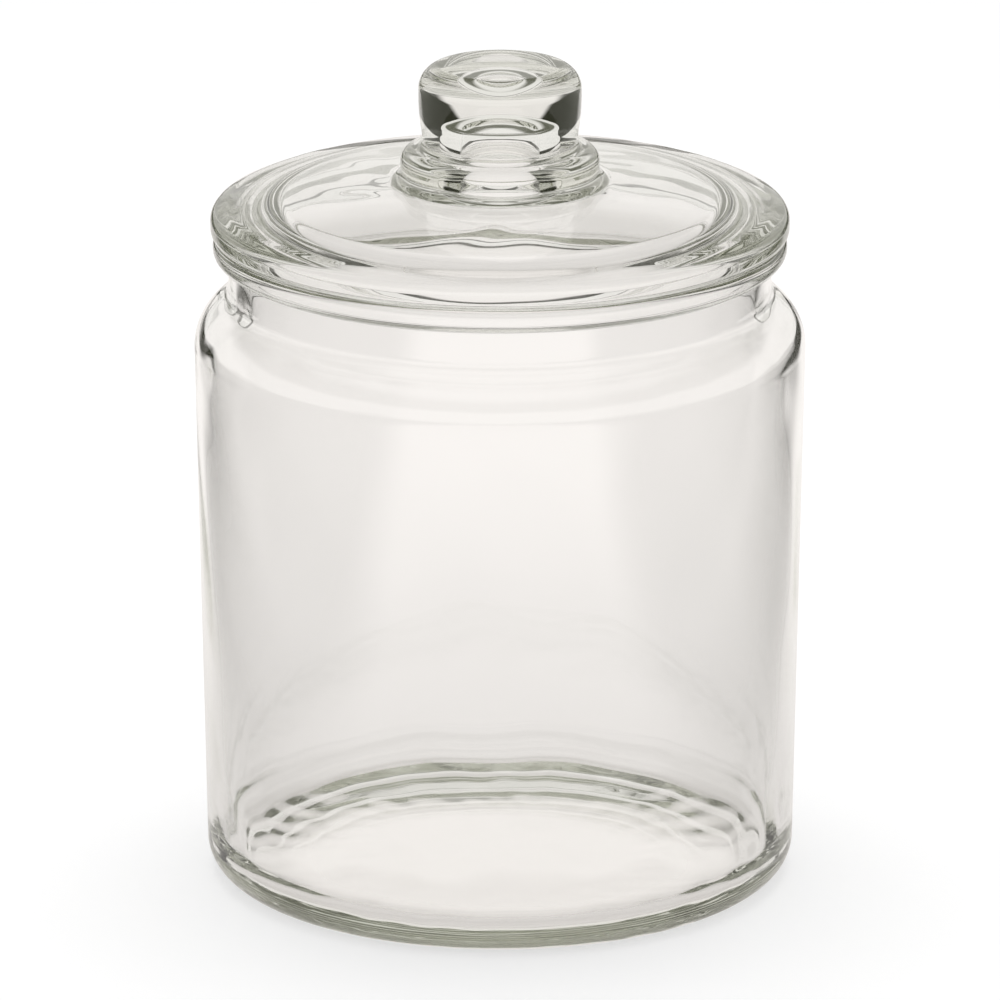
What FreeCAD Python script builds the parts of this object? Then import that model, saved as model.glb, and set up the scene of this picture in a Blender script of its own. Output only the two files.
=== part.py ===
"""Glass storage jar with a lift-off lid: a round pressed-glass jar with a
beaded mouth, and a domed glass lid with a knob that is hollow from below, a
locating ring and a ground seat.
Millimetres, +Z up, origin at the centre of the base."""
import FreeCAD, Part
import math
import os
import Sketcher

doc = FreeCAD.newDocument("GlassStorageJar")

# ---------------------------------------------------------------- sizes
SIZES = [
    # jar, outside
    ("base_radius", 84.85, "wall line carried down to the table"),
    ("heel_round", 9.0, "rounded heel"),
    ("shoulder_radius", 87.65, "wall line carried up to the shoulder line"),
    ("shoulder_height", 164.4, "where wall line and shoulder line cross"),
    ("shoulder_round", 15.0, "rounded shoulder"),
    ("neck_radius", 77.6, "outside of the neck"),
    ("neck_height", 171.0, "where shoulder line and neck cross"),
    ("neck_round", 4.0, "hollow between shoulder and neck"),
    ("bead_radius", 82.0, "outside of the mouth bead"),
    ("bead_height", 182.8, "underside of the mouth bead"),
    ("bead_under_round", 2.8, "underside edge of the bead"),
    ("bead_top_round", 2.4, "upper edge of the bead"),
    ("bead_foot_round", 1.2, "hollow under the bead"),
    ("rim_height", 189.0, "ground top of the mouth"),
    # jar, inside
    ("floor_height", 3.4, "inside floor in the middle"),
    ("dish_radius", 33.0, "where the level middle of the floor ends"),
    ("dish_round", 320.0, "radius in which the floor rises from there"),
    ("floor_radius", 80.9, "inside wall line carried down to the floor's edge"),
    ("floor_edge_height", 7.0, "where wall line and rising floor would meet"),
    ("floor_round", 10.0, "inside corner at the floor's edge"),
    ("inner_shoulder_radius", 83.7, "inside wall line at the shoulder"),
    ("inner_shoulder_height", 162.2, "inside corner of the shoulder"),
    ("inner_shoulder_round", 11.0, "inside of the shoulder"),
    ("mouth_radius", 73.0, "inside of neck and mouth"),
    ("inner_neck_height", 169.2, "inside corner of the neck"),
    ("inner_neck_round", 7.0, "inside edge of the neck"),
    ("mouth_round", 1.2, "inside edge of the mouth"),
    ("pushup_radius", 64.0, "inner edge of the bearing ring"),
    ("pushup_rise", 0.8, "height of the hollow under the base"),
    # lid
    ("lid_radius", 82.66, "outside of the lid"),
    ("lid_edge_height", 195.95, "upper corner of the lid edge"),
    ("lid_edge_round", 3.6, "upper round of the lid edge"),
    ("lid_under_round", 2.6, "lower round of the lid edge"),
    ("dome_edge_radius", 77.6, "where the dome meets the edge slope"),
    ("dome_edge_height", 198.2, "height of the dome at its edge"),
    ("dome_edge_round", 9.0, "blend from dome to edge slope"),
    ("dome_height", 206.6, "top of the dome if the knob were away"),
    ("ring_outer_radius", 71.6, "outside of the locating ring"),
    ("ring_inner_radius", 65.8, "inside of the locating ring where it meets the dome"),
    ("ring_foot_radius", 67.75, "inside of the locating ring at its bottom"),
    ("ring_height", 184.2, "bottom of the locating ring"),
    ("ring_outer_round", 1.6, "outer bottom edge of the locating ring"),
    ("ring_inner_round", 1.4, "inner bottom edge of the locating ring"),
    ("under_edge_height", 195.3, "underside of the dome at the ring"),
    ("under_height", 201.2, "underside of the dome at the centre"),
    ("under_round", 7.0, "inside corner of the ring"),
    ("collar_radius", 28.4, "collar under the knob"),
    ("collar_height", 214.6, "top of the collar"),
    ("collar_round", 4.0, "upper edge of the collar"),
    ("collar_foot_round", 3.5, "hollow between collar and dome"),
    ("waist_radius", 21.4, "knob at the collar"),
    ("waist_round", 1.8, "hollow at the foot of the knob"),
    ("knob_radius", 23.25, "widest part of the knob"),
    ("knob_wide_height", 230.0, "height from which the knob's side is straight"),
    ("knob_belly", 65.0, "radius of the knob's swelling side"),
    ("knob_edge_height", 238.3, "knob top at its edge"),
    ("knob_round", 6.8, "upper edge of the knob"),
    ("knob_height", 238.9, "knob top at the centre"),
    ("hollow_foot_radius", 11.8, "hollow under the knob, its wall carried down"),
    ("hollow_foot_round", 3.0, "edge where the hollow leaves the dome's underside"),
    ("hollow_radius", 10.8, "hollow at the foot of its roof"),
    ("hollow_edge_height", 222.4, "foot of the hollow's roof"),
    ("hollow_edge_round", 2.0, "corner between the hollow's wall and roof"),
    ("hollow_height", 226.0, "top of the hollow's roof"),
]
sheet = doc.addObject("Spreadsheet::Sheet", "Sizes")
for row, (alias, value, note) in enumerate(SIZES, start=1):
    sheet.set("A%d" % row, alias)
    sheet.set("B%d" % row, str(value))
    sheet.set("C%d" % row, note)
    sheet.setAlias("B%d" % row, alias)
doc.recompute()

LEVEL = 0.01            # mm of height a level ring may cover
EDGE_REACH = 0.6        # mm from a named corner to the edge it stands for
LEAST_CHANGE = 1.0      # mm3 that a feature must at least add or take


def size(alias):
    """The number in the sheet under this name."""
    return float(sheet.get(alias))


# ---------------------------------------------------------------- helpers
def half_profile(body, name, corners, arcs=()):
    """A closed sketch on the body's own XZ plane, right of the Z axis.

    corners are (radius, height) pairs: each entry a sheet name, or 0 on the
    axis.  arcs are (side, radius, bulge): the side that leaves that corner is
    an arc with that sheet radius, or, with None, one centred on the axis;
    bulge +1 puts the arc's centre to the left of the way round, -1 right.
    """
    plane = [f for f in body.Origin.OriginFeatures if f.Role == "XZ_Plane"][0]
    sketch = body.newObject("Sketcher::SketchObject", name)
    sketch.AttachmentSupport = [(plane, "")]
    sketch.MapMode = "FlatFace"
    place = [FreeCAD.Vector(size(r) if r else 0.0, size(z) if z else 0.0, 0)
             for r, z in corners]
    bends = {side: (radius, bulge) for side, radius, bulge in arcs}
    count = len(place)
    starts = []
    for side in range(count):
        a, b = place[side], place[(side + 1) % count]
        if side not in bends:
            sketch.addGeometry(Part.LineSegment(a, b), False)
            starts.append((1, 2))
            continue
        radius, bulge = bends[side]
        chord = b - a
        middle = (a + b) * 0.5
        left = FreeCAD.Vector(-chord.y, chord.x, 0).normalize()
        if radius is None:
            # centre on the axis, level with where the bisector meets it
            centre = middle + left * (-middle.x / left.x)
            reach = (a - centre).Length
        else:
            reach = size(radius)
            sag = math.sqrt(reach ** 2 - (chord.Length / 2) ** 2)
            centre = middle + left * (bulge * sag)
        turn = [math.atan2(p.y - centre.y, p.x - centre.x) for p in (a, b)]
        circle = Part.Circle(centre, FreeCAD.Vector(0, 0, 1), reach)
        if bulge > 0:
            sketch.addGeometry(Part.ArcOfCircle(circle, turn[0], turn[1]), False)
            starts.append((1, 2))
        else:
            sketch.addGeometry(Part.ArcOfCircle(circle, turn[1], turn[0]), False)
            starts.append((2, 1))
    for side in range(count):
        following = (side + 1) % count
        sketch.addConstraint(Sketcher.Constraint(
            "Coincident", side, starts[side][1], following, starts[following][0]))
    for corner, (r, z) in enumerate(corners):
        point = (corner, starts[corner][0])
        if r:
            index = sketch.addConstraint(Sketcher.Constraint(
                "DistanceX", -1, 1, point[0], point[1], place[corner].x))
            sketch.renameConstraint(index, "out%d" % corner)
            sketch.setExpression("Constraints.out%d" % corner, "Sizes." + r)
        else:
            sketch.addConstraint(Sketcher.Constraint(
                "PointOnObject", point[0], point[1], -2))
        if z:
            index = sketch.addConstraint(Sketcher.Constraint(
                "DistanceY", -1, 1, point[0], point[1], place[corner].y))
            sketch.renameConstraint(index, "up%d" % corner)
            sketch.setExpression("Constraints.up%d" % corner, "Sizes." + z)
        else:
            sketch.addConstraint(Sketcher.Constraint(
                "PointOnObject", point[0], point[1], -1))
    for side, (radius, bulge) in bends.items():
        if radius is None:
            sketch.addConstraint(Sketcher.Constraint(
                "PointOnObject", side, 3, -2))
            continue
        index = sketch.addConstraint(Sketcher.Constraint(
            "Radius", side, size(radius)))
        sketch.renameConstraint(index, "bend%d" % side)
        sketch.setExpression("Constraints.bend%d" % side, "Sizes." + radius)
    return sketch


def turned(body, kind, name, sketch):
    """The sketch turned once round the Z axis, added or cut away."""
    feature = body.newObject("PartDesign::" + kind, name)
    feature.Profile = sketch
    feature.ReferenceAxis = (sketch, ["V_Axis"])
    feature.Angle = 360.0
    doc.recompute()
    return feature


def rounded(body, name, radius, *rings):
    """A round on the circular edges at these (radius, height) places."""
    base = body.Tip
    circles = []
    for n, edge in enumerate(base.Shape.Edges, start=1):
        low, high = edge.BoundBox.ZMin, edge.BoundBox.ZMax
        if high - low < LEVEL and edge.isClosed():
            circles.append((edge.BoundBox.XMax, high, "Edge%d" % n))
    names = []
    for r, z in rings:
        best = min((abs(x - r) + abs(h - z), edge) for x, h, edge in circles)
        if best[0] > EDGE_REACH:
            raise RuntimeError("%s: no edge near %s" % (name, (r, z)))
        names.append(best[1])
    fillet = body.newObject("PartDesign::Fillet", name)
    fillet.Base = (base, names)
    fillet.Radius = size(radius)
    fillet.setExpression("Radius", "Sizes." + radius)
    body.Tip = fillet
    doc.recompute()
    return fillet


def on_dome(radius):
    """Height of the dome's top face at this distance from the axis."""
    edge, rise = size("dome_edge_radius"), size("dome_height") - size("dome_edge_height")
    ball = (edge ** 2 + rise ** 2) / (2 * rise)
    return size("dome_height") - ball + math.sqrt(ball ** 2 - radius ** 2)


def changed(before, after, sign, name):
    """Stop if a feature did not change the volume the way it should."""
    step = (after.Shape.Volume - before) * sign
    if step <= LEAST_CHANGE:
        raise RuntimeError("%s changed the volume by %.3f" % (name, step))


# ---------------------------------------------------------------- jar
jar = doc.addObject("PartDesign::Body", "Jar")
jar.Label = "jar"

# outside: base, tapered wall, shoulder line and neck
outside = half_profile(jar, "JarOutside", [
    (0, 0),
    ("base_radius", 0),
    ("shoulder_radius", "shoulder_height"),
    ("neck_radius", "neck_height"),
    ("neck_radius", "rim_height"),
    (0, "rim_height"),
])
turned(jar, "Revolution", "JarBlank", outside)

# the bead round the mouth
bead = half_profile(jar, "Bead", [
    ("mouth_radius", "bead_height"),
    ("bead_radius", "bead_height"),
    ("bead_radius", "rim_height"),
    ("mouth_radius", "rim_height"),
])
solid = jar.Tip.Shape.Volume
changed(solid, turned(jar, "Revolution", "MouthBead", bead), 1, "MouthBead")

rounded(jar, "Heel", "heel_round", (size("base_radius"), 0))
rounded(jar, "Shoulder", "shoulder_round",
        (size("shoulder_radius"), size("shoulder_height")))
rounded(jar, "NeckHollow", "neck_round",
        (size("neck_radius"), size("neck_height")))
rounded(jar, "BeadUnder", "bead_under_round",
        (size("bead_radius"), size("bead_height")))
rounded(jar, "BeadTop", "bead_top_round",
        (size("bead_radius"), size("rim_height")))
rounded(jar, "BeadFoot", "bead_foot_round",
        (size("neck_radius"), size("bead_height")))

# inside: floor, wall, shoulder and mouth
inside = half_profile(jar, "JarInside", [
    (0, "floor_height"),
    ("dish_radius", "floor_height"),
    ("floor_radius", "floor_edge_height"),
    ("inner_shoulder_radius", "inner_shoulder_height"),
    ("mouth_radius", "inner_neck_height"),
    ("mouth_radius", "rim_height"),
    (0, "rim_height"),
], arcs=[(1, "dish_round", 1)])
solid = jar.Tip.Shape.Volume
changed(solid, turned(jar, "Groove", "JarHollow", inside), -1, "JarHollow")
brimful = solid - jar.Tip.Shape.Volume

rounded(jar, "FloorCorner", "floor_round",
        (size("floor_radius"), size("floor_edge_height")))
rounded(jar, "InnerShoulder", "inner_shoulder_round",
        (size("inner_shoulder_radius"), size("inner_shoulder_height")))
rounded(jar, "InnerNeck", "inner_neck_round",
        (size("mouth_radius"), size("inner_neck_height")))
rounded(jar, "MouthEdge", "mouth_round",
        (size("mouth_radius"), size("rim_height")))

# the shallow hollow under the base, inside the bearing ring
hollow = half_profile(jar, "PushUp", [
    (0, 0),
    ("pushup_radius", 0),
    (0, "pushup_rise"),
], arcs=[(1, None, 1)])
solid = jar.Tip.Shape.Volume
changed(solid, turned(jar, "Groove", "BaseHollow", hollow), -1, "BaseHollow")

# ---------------------------------------------------------------- lid
lid = doc.addObject("PartDesign::Body", "Lid")
lid.Label = "lid"

# domed plate with its ground seat and locating ring
plate = half_profile(lid, "LidPlate", [
    (0, "under_height"),
    ("ring_inner_radius", "under_edge_height"),
    ("ring_foot_radius", "ring_height"),
    ("ring_outer_radius", "ring_height"),
    ("ring_outer_radius", "rim_height"),
    ("lid_radius", "rim_height"),
    ("lid_radius", "lid_edge_height"),
    ("dome_edge_radius", "dome_edge_height"),
    (0, "dome_height"),
], arcs=[(0, None, -1), (7, None, 1)])
turned(lid, "Revolution", "DomedPlate", plate)

# collar and knob, one pressed piece with the plate
knob = half_profile(lid, "KnobOutline", [
    (0, "under_height"),
    ("collar_radius", "under_height"),
    ("collar_radius", "collar_height"),
    ("waist_radius", "collar_height"),
    ("knob_radius", "knob_wide_height"),
    ("knob_radius", "knob_edge_height"),
    (0, "knob_height"),
], arcs=[(3, "knob_belly", 1), (5, None, 1)])
solid = lid.Tip.Shape.Volume
changed(solid, turned(lid, "Revolution", "Knob", knob), 1, "Knob")

rounded(lid, "KnobFoot", "waist_round",
        (size("waist_radius"), size("collar_height")))
rounded(lid, "CollarTop", "collar_round",
        (size("collar_radius"), size("collar_height")))
rounded(lid, "CollarFoot", "collar_foot_round", (size("collar_radius"),
        on_dome(size("collar_radius"))))
rounded(lid, "KnobTop", "knob_round",
        (size("knob_radius"), size("knob_edge_height")))
rounded(lid, "LidEdge", "lid_edge_round",
        (size("lid_radius"), size("lid_edge_height")))
rounded(lid, "DomeEdge", "dome_edge_round",
        (size("dome_edge_radius"), size("dome_edge_height")))
rounded(lid, "LidUnder", "lid_under_round",
        (size("lid_radius"), size("rim_height")))
rounded(lid, "RingOuterEdge", "ring_outer_round",
        (size("ring_outer_radius"), size("ring_height")))
rounded(lid, "RingInnerEdge", "ring_inner_round",
        (size("ring_foot_radius"), size("ring_height")))
rounded(lid, "RingCorner", "under_round",
        (size("ring_inner_radius"), size("under_edge_height")))

# the hollow that rises into the knob from below
hollow = half_profile(lid, "KnobHollow", [
    (0, "under_edge_height"),
    ("hollow_foot_radius", "under_edge_height"),
    ("hollow_radius", "hollow_edge_height"),
    (0, "hollow_height"),
], arcs=[(2, None, 1)])
solid = lid.Tip.Shape.Volume
changed(solid, turned(lid, "Groove", "HollowKnob", hollow), -1, "HollowKnob")
rounded(lid, "HollowRoof", "hollow_edge_round",
        (size("hollow_radius"), size("hollow_edge_height")))
rounded(lid, "HollowFoot", "hollow_foot_round",
        (size("hollow_foot_radius"), size("under_height")))

# ---------------------------------------------------------------- files
doc.recompute()
for item in doc.Objects:
    if "Invalid" in item.State or "Error" in item.State:
        raise RuntimeError("%s did not rebuild: %s" % (item.Name, item.State))
print("brimful %.3f litres" % (brimful / 1e6))
os.makedirs("parts", exist_ok=True)
for piece in (jar, lid):
    shape = piece.Shape
    if shape.isNull() or not shape.isValid() or len(shape.Solids) != 1:
        raise RuntimeError(piece.Label + " is not one valid solid")
    box = shape.optimalBoundingBox(False, False)
    print("%s: %.1f cm3, height %.2f to %.2f, across %.2f" % (
        piece.Label, shape.Volume / 1e3, box.ZMin, box.ZMax, box.XLength))
    shape.exportStep("parts/%s.step" % piece.Label)
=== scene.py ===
# Glass storage jar with a lift-off lid, standing empty: one blown jar and one
# pressed lid with its knob.  Metres, +Z up, origin at the centre of the base.
import math
import bpy
import numpy as np
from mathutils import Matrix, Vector


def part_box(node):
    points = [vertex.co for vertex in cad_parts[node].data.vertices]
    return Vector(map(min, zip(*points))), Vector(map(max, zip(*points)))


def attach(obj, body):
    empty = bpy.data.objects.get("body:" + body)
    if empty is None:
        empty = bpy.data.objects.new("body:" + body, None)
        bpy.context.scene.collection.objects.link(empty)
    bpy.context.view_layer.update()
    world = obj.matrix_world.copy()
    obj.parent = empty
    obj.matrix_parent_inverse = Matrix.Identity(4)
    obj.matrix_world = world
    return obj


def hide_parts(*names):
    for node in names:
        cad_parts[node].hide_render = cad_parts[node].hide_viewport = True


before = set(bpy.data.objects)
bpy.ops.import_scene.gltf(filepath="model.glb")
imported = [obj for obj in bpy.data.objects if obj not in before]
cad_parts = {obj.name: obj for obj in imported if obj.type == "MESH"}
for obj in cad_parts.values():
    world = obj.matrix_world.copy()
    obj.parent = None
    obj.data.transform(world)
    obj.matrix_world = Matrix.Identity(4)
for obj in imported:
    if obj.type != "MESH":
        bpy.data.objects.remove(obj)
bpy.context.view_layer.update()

mm = 0.001


# --- The glass ---------------------------------------------------------------
# Both pieces are soda-lime container glass, formed in iron moulds and fire
# polished.  It is clear face on; a long way through it, as in the knob, the rim
# and the heel, it turns a weak olive grey from the iron in the sand.
GLASS_IOR = 1.52
GLASS_BODY = "#CCCFC0"      # what is left of white after one absorption length
GLASS_ABSORB = 7.0          # absorption lengths in a metre of glass


def linear(hex_colour):
    """An sRGB hex colour as linear red, green, blue and alpha 1."""
    parts = [int(hex_colour[i:i + 2], 16) / 255 for i in (1, 3, 5)]
    return [c / 12.92 if c <= 0.04045 else ((c + 0.055) / 1.055) ** 2.4
            for c in parts] + [1.0]


def add_node(tree, kind, settings={}, *inputs):
    """Adds a node.  settings are its properties, or its sockets by name, and
    inputs are its sockets in order.  A socket takes a plain value, another
    node's socket, or a node, which stands for its first output."""
    node = tree.nodes.new(kind)
    for key, value in list(settings.items()) + list(enumerate(inputs)):
        if isinstance(key, str) and key not in node.inputs:
            setattr(node, key, value)
            continue
        if isinstance(value, bpy.types.Node):
            value = value.outputs[0]
        if isinstance(value, bpy.types.NodeSocket):
            tree.links.new(value, node.inputs[key])
        else:
            node.inputs[key].default_value = value
    return node


def empty_material(name):
    """A new material with no nodes."""
    material = bpy.data.materials.new(name)
    material.use_nodes = True
    material.node_tree.nodes.clear()
    return material


clear_glass = empty_material("fire_polished_soda_lime_glass")
tree = clear_glass.node_tree
surface = add_node(tree, "ShaderNodeBsdfPrincipled", {
    "Base Color": linear("#FFFFFF"), "Roughness": 0.0, "IOR": GLASS_IOR,
    "Transmission Weight": 1.0})
body_tint = add_node(tree, "ShaderNodeVolumeAbsorption", {
    "Color": linear(GLASS_BODY), "Density": GLASS_ABSORB})
add_node(tree, "ShaderNodeOutputMaterial", {"Surface": surface, "Volume": body_tint})


# --- Jar ---------------------------------------------------------------------
# The jar is pressed and blown: a bearing ring round a pushed-up base, a rounded
# heel, a wall that widens a little towards the rounded shoulder, a short neck
# and a bead round the mouth.  The inside, which no mould touches, is wavy.
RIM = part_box("jar")[1].z / mm           # height of the mouth
JAR_OUTSIDE = [             # radius, height, round, all in mm
    (84.85, 0.0, 9.0),
    (87.65, 164.4, 15.0),
    (77.6, 171.0, 4.0),
    (77.6, 182.8, 1.2),
    (82.0, 182.8, 2.8),
    (82.0, RIM, 2.4),
]
JAR_INSIDE = [
    (73.0, RIM, 1.2),
    (73.0, 169.2, 7.0),
    (83.7, 162.2, 11.0),
    (80.9, 7.0, 10.0),
]
BEARING_RADIUS, PUSH_UP = 64.0, 0.8
FLOOR = 3.4                             # thickness of the level middle of the floor
DISH_RADIUS, DISH_END, DISH_ROUND = 33.0, 70.0, 320.0   # the floor then rises on a round
ALONG_JAR = 1.6                         # distance between the rings of points, in mm
AROUND = 256                            # points in a ring
FEWEST_ON_ARC, ARC_FINER = 5, 3         # points on an arc, and how much closer they are
LEAST_ROUND = 2.5                       # a smaller round gets as many points as this
COSINES = 9                             # in each pattern of waves


def bent_line(corners, step):
    """Straight runs joined by tangent arcs, from (x, y, round) corners.

    At a corner the two tangent points lie round * tan(turn / 2) away along the
    runs, and the arc between them is about a centre one round away from both.
    The first and last corner have no round.  Points are about one step apart,
    and closer on small arcs.
    """
    corners = np.asarray(corners, float)
    points = corners[:, :2]
    line = [points[:1]]
    for before, corner, after, radius in zip(points[:-2], points[1:-1], points[2:],
                                             corners[1:-1, 2]):
        if radius == 0:
            run = np.linalg.norm(corner - line[-1][-1])
            share = np.linspace(0, 1, max(1, round(run / step)) + 1)[1:, None]
            line.append(line[-1][-1] + (corner - line[-1][-1]) * share)
            continue
        way_in = (corner - before) / np.linalg.norm(corner - before)
        way_out = (after - corner) / np.linalg.norm(after - corner)
        turn = math.atan2(way_in[0] * way_out[1] - way_in[1] * way_out[0],
                          way_in @ way_out)
        side = math.copysign(1.0, turn)
        start = corner - way_in * radius * math.tan(abs(turn) / 2)
        normal = side * np.array([-way_in[1], way_in[0]])
        centre = start + normal * radius
        count = max(FEWEST_ON_ARC,
                    int(abs(turn) * max(radius, LEAST_ROUND) / step * ARC_FINER))
        angle = side * np.linspace(0, abs(turn), count)
        spoke = -normal * radius
        arc = centre + np.stack([
            spoke[0] * np.cos(angle) - spoke[1] * np.sin(angle),
            spoke[0] * np.sin(angle) + spoke[1] * np.cos(angle)], axis=1)
        run = np.linalg.norm(arc[0] - line[-1][-1])
        share = np.linspace(0, 1, max(1, round(run / step)) + 1)[1:-1, None]
        line += [line[-1][-1] + (arc[0] - line[-1][-1]) * share, arc]
    run = np.linalg.norm(points[-1] - line[-1][-1])
    share = np.linspace(0, 1, max(1, round(run / step)) + 1)[1:, None]
    line.append(line[-1][-1] + (points[-1] - line[-1][-1]) * share)
    return np.concatenate(line)


def without_round(points):
    """(x, y) points as (x, y, 0) corners."""
    return [(x, y, 0.0) for x, y in points]


def arch(radius, edge, middle, count):
    """A shallow arc from the axis out to a radius: height as a circle's, level
    on the axis, that passes through both heights."""
    rise = middle - edge
    ball = (radius ** 2 + rise ** 2) / (2 * rise)
    across = np.linspace(0, radius, count)
    height = middle - ball + math.copysign(1, ball) * np.sqrt(ball ** 2 - across ** 2)
    return np.stack([across, height], axis=1)


def waves(angle, other, depth, seed, cycles, length):
    """A smooth uneven pattern about depth high: a sum of cosines, each with a
    whole number of cycles round the jar and its own wavelength along other."""
    draw = np.random.default_rng(seed)
    total = np.zeros(np.broadcast(angle, other).shape)
    for _ in range(COSINES):
        turns = draw.integers(1, cycles + 1)
        across = draw.uniform(-1, 1) * 2 * math.pi / length
        total += np.cos(turns * angle + across * other + draw.uniform(0, 2 * math.pi))
    return depth * (total / math.sqrt(COSINES / 2))


def smooth_step(value, low, high):
    """0 below low, 1 above high, and a smooth step between."""
    share = np.clip((value - low) / (high - low), 0, 1)
    return share * share * (3 - 2 * share)


def turned_piece(name, outline, around, ripple):
    """Turns a closed half outline, in mm, once round the Z axis.

    The outline runs from the axis, out and up over the outside, to the axis
    again.  Ring k holds the points (radius cos a, radius sin a, height) for
    every angle a, and the two ends on the axis are single pole vertices.
    ripple(row, angle, radius, height) is how far a point is pushed along the
    outline's own normal, in mm.
    """
    ring = outline[1:-1]
    along = np.gradient(outline, axis=0)[1:-1]
    normal = np.stack([along[:, 1], -along[:, 0]], axis=1)
    normal /= np.linalg.norm(normal, axis=1)[:, None]
    angle = np.linspace(0, 2 * math.pi, around, endpoint=False)[None, :]
    row = np.arange(1, len(outline) - 1)[:, None]
    push = ripple(row, angle, ring[:, :1], ring[:, 1:])
    radius = ring[:, :1] + normal[:, :1] * push
    height = ring[:, 1:] + normal[:, 1:] * push
    grid = np.stack([radius * np.cos(angle), radius * np.sin(angle), height], axis=2)
    poles = [[0, 0, outline[0, 1]], [0, 0, outline[-1, 1]]]
    vertices = np.concatenate([grid.reshape(-1, 3), poles]) * mm
    rows = len(ring)
    i, j = np.meshgrid(np.arange(rows - 1), np.arange(around), indexing="ij")
    after = (j + 1) % around
    quads = np.stack([i * around + j, i * around + after,
                      (i + 1) * around + after, (i + 1) * around + j], axis=2)
    j = np.arange(around)
    after = (j + 1) % around
    pole, end = rows * around, (rows - 1) * around
    fans = np.concatenate([
        np.stack([np.full(around, pole), after, j], axis=1),
        np.stack([np.full(around, pole + 1), end + j, end + after], axis=1)])
    mesh = bpy.data.meshes.new(name)
    mesh.from_pydata(vertices.tolist(), [],
                     quads.reshape(-1, 4).tolist() + fans.tolist())
    mesh.polygons.foreach_set("use_smooth", np.ones(len(mesh.polygons), bool))
    mesh.materials.append(clear_glass)
    mesh.update()
    piece = bpy.data.objects.new(name, mesh)
    bpy.context.collection.objects.link(piece)
    return piece


inward = np.linspace(DISH_END, DISH_RADIUS, 14)
dish = np.stack([inward, FLOOR + DISH_ROUND - np.sqrt(
    DISH_ROUND ** 2 - (inward - DISH_RADIUS) ** 2)], axis=1)
jar_outline = np.concatenate([
    arch(BEARING_RADIUS, 0.0, PUSH_UP, 20)[:-1],
    bent_line([(BEARING_RADIUS, 0.0, 0)] + JAR_OUTSIDE + JAR_INSIDE
              + without_round(dish) + [(0, FLOOR, 0)], ALONG_JAR)])
mouth_row = np.argmax(jar_outline[:, 1] > RIM - 0.01) + 4   # just past the rim

# Waves of the inside: depth in mm, seed, most cycles round the jar, and the
# wavelength in mm.  Each pair below is where, in mm, they set in or die out.
WALL_WAVES = (0.10, 3, 14, 60.0)
SHOULDER_WAVES = (0.06, 8, 30, 26.0)
CORNER_WAVES = (0.08, 5, 34, 24.0)
MIDDLE_WAVES = (0.08, 11, 5, 50.0)
BEND_WAVES = (0.02, 17, 40, 12.0)
FLOOR_TO_WALL = (FLOOR + 2, FLOOR + 10)     # height
SHOULDER_FROM = (135, 158)                  # height
NECK_CALM = (172, 184)                      # height
CORNER_FROM, CORNER_UP_TO = (50, 74), (14, 40)      # radius, height
MIDDLE_FROM, BEND_FROM = (4, 30), (34, 44)          # radius


def jar_ripple(row, angle, radius, height):
    """Waviness of the inside, none at the mouth: long on the wall and in the
    middle of the floor, and shorter where the floor bends up, in the corner
    between floor and wall, and where the shoulder turns to the neck."""
    on_floor = 1 - smooth_step(height, *FLOOR_TO_WALL)
    wall = waves(angle, height, *WALL_WAVES) * (1 - on_floor)
    shoulder = waves(angle, height, *SHOULDER_WAVES) * smooth_step(height, *SHOULDER_FROM)
    corner = waves(angle, height + radius, *CORNER_WAVES) * (
        smooth_step(radius, *CORNER_FROM) * (1 - smooth_step(height, *CORNER_UP_TO)))
    middle = waves(angle, radius, *MIDDLE_WAVES) * smooth_step(radius, *MIDDLE_FROM) * on_floor
    bend = waves(angle, radius, *BEND_WAVES) * smooth_step(radius, *BEND_FROM) * on_floor
    pushed = wall + shoulder + corner + middle + bend
    return np.where(row > mouth_row, pushed * (1 - smooth_step(height, *NECK_CALM)), 0.0)


jar = turned_piece("jar_glass", jar_outline, AROUND, jar_ripple)
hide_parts("jar")
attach(jar, "root")


# --- Lid ---------------------------------------------------------------------
# The lid is one pressing: a shallow dome with a ground seat that rests on the
# mouth bead, a locating ring that hangs inside the mouth, and a knob on a collar
# with a hollow beneath.  The top is fire polished, the underside less even.
LOWEST, TOP = (corner.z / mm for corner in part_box("lid"))
DOME_RADIUS, DOME_EDGE, DOME_TOP = 77.6, 198.2, 206.6
RING_INSIDE, UNDER_EDGE, UNDER_TOP = 65.8, 195.3, 201.2
RING_FOOT, RING_OUTSIDE = 67.75, 71.6
EDGE_RADIUS, EDGE_TOP = 82.66, 195.95
COLLAR_RADIUS, COLLAR_TOP = 28.4, 214.6
WAIST, KNOB_RADIUS, KNOB_WIDE, KNOB_EDGE = 21.4, 23.25, 230.0, TOP - 0.6
HOLLOW_TOP, HOLLOW_EDGE, HOLLOW_RADIUS, HOLLOW_FOOT = 226.0, 222.4, 10.8, 11.8
SEAT_GAP = 0.05             # air left between the two ground faces that touch
ALONG_LID = 1.2             # distance between the rings of points, in mm

under = arch(RING_INSIDE, UNDER_EDGE, UNDER_TOP, 50)
dome = arch(DOME_RADIUS, DOME_EDGE, DOME_TOP, 60)
dome_at_collar = float(np.interp(COLLAR_RADIUS, dome[:, 0], dome[:, 1]))
knob_top = arch(KNOB_RADIUS, KNOB_EDGE, TOP, 20)
belly = ((KNOB_WIDE - COLLAR_TOP) ** 2 + (KNOB_RADIUS - WAIST) ** 2) / (
    2 * (KNOB_RADIUS - WAIST))
drop = np.linspace(KNOB_WIDE - COLLAR_TOP, 0.0, 20)
knob_side = np.stack([KNOB_RADIUS - belly + np.sqrt(belly ** 2 - drop ** 2),
                      KNOB_WIDE - drop], axis=1)
roof = arch(HOLLOW_RADIUS, HOLLOW_EDGE, HOLLOW_TOP, 24)
under_at_hollow = float(np.interp(HOLLOW_FOOT, under[:, 0], under[:, 1]))
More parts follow.
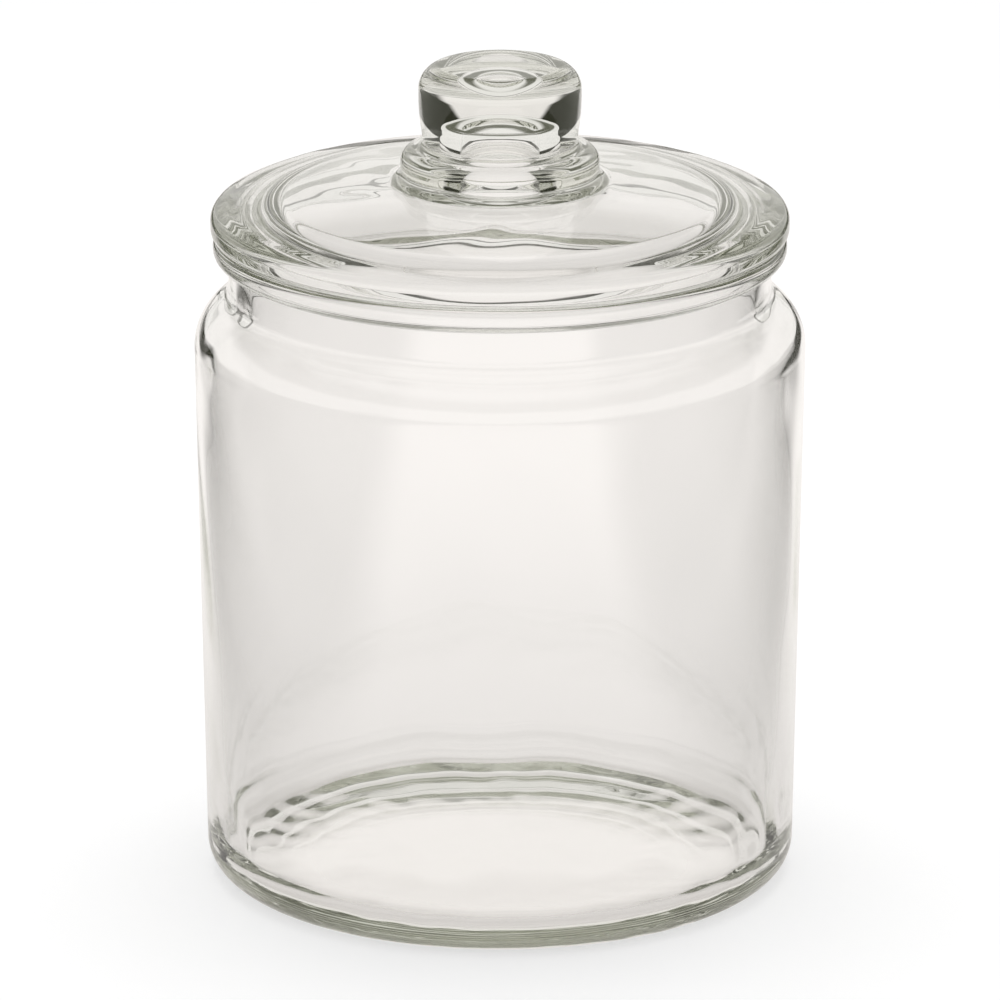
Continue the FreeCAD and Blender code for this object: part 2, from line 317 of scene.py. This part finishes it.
hollow_at_under = HOLLOW_FOOT - (HOLLOW_FOOT - HOLLOW_RADIUS) * (
    (under_at_hollow - UNDER_EDGE) / (HOLLOW_EDGE - UNDER_EDGE))
lid_corners = (
    without_round(roof[roof[:, 0] < HOLLOW_RADIUS - 2])
    + [(HOLLOW_RADIUS, HOLLOW_EDGE, 2.0), (hollow_at_under, under_at_hollow, 3.0)]
    + without_round(under[(under[:, 0] < RING_INSIDE - 5) & (under[:, 0] > HOLLOW_FOOT + 4)])
    + [(RING_INSIDE, UNDER_EDGE, 7.0),
       (RING_FOOT, LOWEST, 1.4),
       (RING_OUTSIDE, LOWEST, 1.6),
       (RING_OUTSIDE, RIM + SEAT_GAP, 0.4),
       (EDGE_RADIUS, RIM + SEAT_GAP, 2.6),
       (EDGE_RADIUS, EDGE_TOP, 3.6),
       (DOME_RADIUS, DOME_EDGE, 9.0)]
    + without_round(
        dome[(dome[:, 0] < DOME_RADIUS - 4) & (dome[:, 0] > COLLAR_RADIUS + 4)][::-1])
    + [(COLLAR_RADIUS, dome_at_collar, 3.5),
       (COLLAR_RADIUS, COLLAR_TOP, 4.0),
       (WAIST, COLLAR_TOP, 1.8)]
    + without_round(knob_side[knob_side[:, 1] > COLLAR_TOP + 2.2])
    + [(KNOB_RADIUS, KNOB_EDGE, 6.8)]
    + without_round(knob_top[knob_top[:, 0] < KNOB_RADIUS - 7.5][::-1]))
lid_outline = bent_line(lid_corners, ALONG_LID)
ring_row = np.argmax(lid_outline[:, 0] > RING_INSIDE - 0.01)

# Waves of the lid, in the same order as the jar's, and where they set in.
UNDER_WAVES = (0.008, 21, 18, 22.0)
DOME_WAVES = (0.01, 22, 9, 40.0)
FLANGE_WAVES = (0.03, 23, 40, 16.0)
UNDER_FROM, UNDER_END_ROWS = (14, 28), 12           # radius, rows before the ring
DOME_FROM, DOME_UP_TO = (30, 40), (70, 76)          # radius
FLANGE_FROM, FLANGE_ABOVE = (66, 72), (195, 197)    # radius, height
TOP_SIDE = 196                                      # the dome lies above this height


def lid_ripple(row, angle, radius, height):
    """Unevenness of the pressing: a little on the underside inside the ring and
    on the dome, and a closer chatter round the flange."""
    under_side = waves(angle, radius, *UNDER_WAVES) * smooth_step(radius, *UNDER_FROM)
    top_side = waves(angle, radius, *DOME_WAVES) * (
        smooth_step(radius, *DOME_FROM) * (1 - smooth_step(radius, *DOME_UP_TO)))
    flange = waves(angle, radius + height, *FLANGE_WAVES) * (
        smooth_step(radius, *FLANGE_FROM) * smooth_step(height, *FLANGE_ABOVE))
    return flange + np.where(row < ring_row - UNDER_END_ROWS, under_side,
                             np.where(height > TOP_SIDE, top_side, 0.0))


lid = turned_piece("lid_glass", lid_outline, AROUND, lid_ripple)
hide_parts("lid")
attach(lid, "root")


# --- Floor and light ---------------------------------------------------------
# White paper lies as a broad cross on a studio floor, with the jar at its middle
# and a soft light overhead.  The camera sees white all round.  Only rays that
# have met glass see the dim floor between the arms and a dim ceiling band: painted
# dark reflections that draw the glass's edges.
REACH = 6.0                 # half width of the floor, in metres
DROP = 0.0002               # air between the floor and the base
SMOOTH = {"interpolation_type": "SMOOTHSTEP"}
PAPER_EDGE = SMOOTH | {"From Min": 0.43, "From Max": 0.53}      # half width of an arm
PAPER_END = SMOOTH | {"From Min": 1.90, "From Max": 2.70}       # how far it runs out
PAST_BASE = SMOOTH | {"From Min": 0.055, "From Max": 0.080}     # radius where the jar's
OUT_OF_SHADE = SMOOTH | {"From Min": 0.10, "From Max": 0.45}    # shade starts and ends
FEW_SURFACES = 5.0          # rays through fewer glass surfaces see paper only in a strip that widens with distance, from this half width; the dim floor beside it is painted shade on the glass's sides
STRIP_SPREAD = 0.45         # that widens with distance, from this half width
STRIP_EDGE = SMOOTH | {"From Min": 0.08, "From Max": 0.24}
WHITE, IN_GLASS = linear("#FFFFFF"), linear("#FFFAF6")
# Own glow of the paper: even to the camera; to rays that met glass it is lower near the jar as
# painted shade (SHADED_PAPER) and higher under the base as painted light (GLOW_UNDER_BASE).
PLAIN_PAPER, PAPER_TO_CAMERA = (0.7, 0.0), (0.45, 0.60)         # grey, and own glow
SHADED_PAPER, FAR_PAPER, GLOW_UNDER_BASE = (0.20, 0.63), (0.20, 0.77), 0.92
# Seen only by rays that met glass: the dim floor and the dim ceiling band are painted dark
# reflections that draw the glass's edges.
DIM_FLOOR = linear("#2F3026")
WALL, WALL_TOP = linear("#F4F2EE"), (0.36, 0.46)                # sine of the height
CEILING, CEILING_LIGHT = linear("#6A6B5E"), (0.70, 0.84)
ROOM_LIGHT = 0.75

floor_mesh = bpy.data.meshes.new("paper_floor")
floor_mesh.from_pydata([(-REACH, -REACH, 0), (REACH, -REACH, 0), (REACH, REACH, 0),
                        (-REACH, REACH, 0)], [], [(0, 1, 2, 3)])
paper_floor = bpy.data.objects.new("paper_floor", floor_mesh)
paper_floor.location.z = -DROP
bpy.context.collection.objects.link(paper_floor)


def light_paths(tree):
    """The Light Path node, and 1 for a ray that has met glass, else 0."""
    rays = add_node(tree, "ShaderNodeLightPath")
    return rays, add_node(tree, "ShaderNodeMath", {"operation": "MAXIMUM"},
                          rays.outputs["Is Glossy Ray"], rays.outputs["Is Transmission Ray"])


def glowing_paper(tree, grey, glow, tint):
    """A matt grey surface that also shows a share of its tint by itself."""
    matt = add_node(tree, "ShaderNodeBsdfDiffuse", {"Color": [grey, grey, grey, 1.0]})
    glow = add_node(tree, "ShaderNodeEmission", {"Color": tint, "Strength": glow})
    return add_node(tree, "ShaderNodeAddShader", {}, matt, glow)


# Where the paper lies: off_paper is 0 on it and 1 off it, by the lesser and the
# greater of the distances to the two middle lines of the cross.
table_top = empty_material("matt_white_paper")
tree = table_top.node_tree
rays, met_glass = light_paths(tree)
place = add_node(tree, "ShaderNodeTexCoord").outputs["Object"]
split = add_node(tree, "ShaderNodeSeparateXYZ", {}, place)
x, y = [add_node(tree, "ShaderNodeMath", {"operation": "ABSOLUTE"}, split.outputs[axis])
        for axis in "XY"]
lesser = add_node(tree, "ShaderNodeMath", {"operation": "MINIMUM"}, x, y)
greater = add_node(tree, "ShaderNodeMath", {"operation": "MAXIMUM"}, x, y)
off_paper = add_node(tree, "ShaderNodeMath", {"operation": "MAXIMUM"},
                     add_node(tree, "ShaderNodeMapRange", PAPER_EDGE, lesser),
                     add_node(tree, "ShaderNodeMapRange", PAPER_END, greater))

# The strip beside the jar: rays through few glass surfaces see dim floor outside it, a painted
# shade that darkens the sides of the glass.
spread = add_node(tree, "ShaderNodeMath", {"operation": "MULTIPLY"}, y, STRIP_SPREAD)
beside = add_node(tree, "ShaderNodeMath", {"operation": "SUBTRACT"}, x, spread)
painted_side_shade = add_node(tree, "ShaderNodeMath", {"operation": "MULTIPLY"},
                     add_node(tree, "ShaderNodeMath", {"operation": "LESS_THAN"},
                              rays.outputs["Transmission Depth"], FEW_SURFACES),
                     add_node(tree, "ShaderNodeMapRange", STRIP_EDGE, beside))
off_paper = add_node(tree, "ShaderNodeMath", {"operation": "MAXIMUM"}, off_paper, painted_side_shade)

# How bright the paper's own glow is, as glass sees it: a painted pool of light under the base,
# painted shade round the jar, and plain paper beyond.  The matt part also takes the lamp's
# real shadow.
radius = add_node(tree, "ShaderNodeVectorMath", {"operation": "LENGTH"},
                  place).outputs["Value"]
beyond_base = add_node(tree, "ShaderNodeMixShader", {},
                       add_node(tree, "ShaderNodeMapRange", OUT_OF_SHADE, radius),
                       glowing_paper(tree, *SHADED_PAPER, IN_GLASS),
                       glowing_paper(tree, *FAR_PAPER, IN_GLASS))
painted_light_under_base = add_node(tree, "ShaderNodeEmission", {
    "Color": IN_GLASS, "Strength": GLOW_UNDER_BASE})
paper = add_node(tree, "ShaderNodeMixShader", {},
                 add_node(tree, "ShaderNodeMapRange", PAST_BASE, radius),
                 painted_light_under_base, beyond_base)
# Dim floor off the paper, a painted dark reflection that only rays that met glass see.
dim = add_node(tree, "ShaderNodeEmission", {"Color": DIM_FLOOR, "Strength": 1.0})
seen_in_glass = add_node(tree, "ShaderNodeMixShader", {}, off_paper, paper, dim)
seen_in_air = add_node(tree, "ShaderNodeMixShader", {}, rays.outputs["Is Camera Ray"],
                       glowing_paper(tree, *PLAIN_PAPER, WHITE),
                       glowing_paper(tree, *PAPER_TO_CAMERA, WHITE))
shown = add_node(tree, "ShaderNodeMixShader", {}, met_glass, seen_in_air, seen_in_glass)
add_node(tree, "ShaderNodeOutputMaterial", {"Surface": shown})
floor_mesh.materials.append(table_top)

# The room as rays that met glass see it: pale walls, then a dim band of ceiling,
# a painted dark reflection, then a pale opening in it.  The camera sees white.
world = bpy.data.worlds.new("studio")
bpy.context.scene.world = world
world.use_nodes = True
tree = world.node_tree
tree.nodes.clear()
rays, met_glass = light_paths(tree)
direction = add_node(tree, "ShaderNodeTexCoord").outputs["Generated"]
split = add_node(tree, "ShaderNodeSeparateXYZ", {}, direction)
room = add_node(tree, "ShaderNodeValToRGB", {}, split.outputs["Z"])
ramp = room.color_ramp
ramp.elements[0].position, ramp.elements[0].color = WALL_TOP[0], WALL
ramp.elements[1].position, ramp.elements[1].color = CEILING_LIGHT[1], WALL
for sine in (WALL_TOP[1], CEILING_LIGHT[0]):
    ramp.elements.new(sine).color = CEILING
seen_in_glass = add_node(tree, "ShaderNodeBackground", {"Color": room})
seen_in_air = add_node(
    tree, "ShaderNodeMixShader", {}, rays.outputs["Is Camera Ray"],
    add_node(tree, "ShaderNodeBackground", {"Color": WHITE, "Strength": ROOM_LIGHT}),
    add_node(tree, "ShaderNodeBackground", {"Color": WHITE, "Strength": 1.0}))
shown = add_node(tree, "ShaderNodeMixShader", {}, met_glass, seen_in_air, seen_in_glass)
add_node(tree, "ShaderNodeOutputWorld", {"Surface": shown})

# The overhead soft box, a rectangle that faces the middle of the jar.
BOX_PLACE, BOX_AIM = Vector((0.0, 0.25, 1.1)), Vector((0.0, 0.0, 0.12))
BOX_WIDTH, BOX_DEPTH, BOX_WATTS = 0.9, 0.7, 5.0

lamp = bpy.data.lights.new("overhead", "AREA")
lamp.shape, lamp.size, lamp.size_y = "RECTANGLE", BOX_WIDTH, BOX_DEPTH
lamp.energy = BOX_WATTS
soft_box = bpy.data.objects.new("overhead", lamp)
soft_box.visible_glossy = soft_box.visible_transmission = False
soft_box.location = BOX_PLACE
soft_box.rotation_euler = (BOX_AIM - BOX_PLACE).to_track_quat("-Z", "Y").to_euler()
bpy.context.collection.objects.link(soft_box)


# --- Camera ------------------------------------------------------------------
# A long lens stands a little above the jar, aimed near the middle of its
# height, so that the lid shows its top and the base its floor.
AIM_HEIGHT = 0.1092
DISTANCE = 2.625
ELEVATION = math.radians(17.39)
LENS, SENSOR = 328.1, 36.0

camera_data = bpy.data.cameras.new("camera")
camera_data.lens = LENS
camera_data.sensor_width = SENSOR
camera_data.clip_end = 50.0
camera = bpy.data.objects.new("camera", camera_data)
aim = Vector((0, 0, AIM_HEIGHT))
camera.location = aim + DISTANCE * Vector((0, -math.cos(ELEVATION), math.sin(ELEVATION)))
camera.rotation_euler = (aim - camera.location).to_track_quat("-Z", "Y").to_euler()
bpy.context.collection.objects.link(camera)
bpy.context.scene.camera = camera
bpy.context.scene.view_settings.view_transform = "Standard"

# Light turns many times inside the rim and the knob before it comes out.
MOST_TURNS = 64
paths = bpy.context.scene.cycles
paths.max_bounces = paths.transmission_bounces = paths.glossy_bounces = MOST_TURNS

bpy.context.view_layer.update()
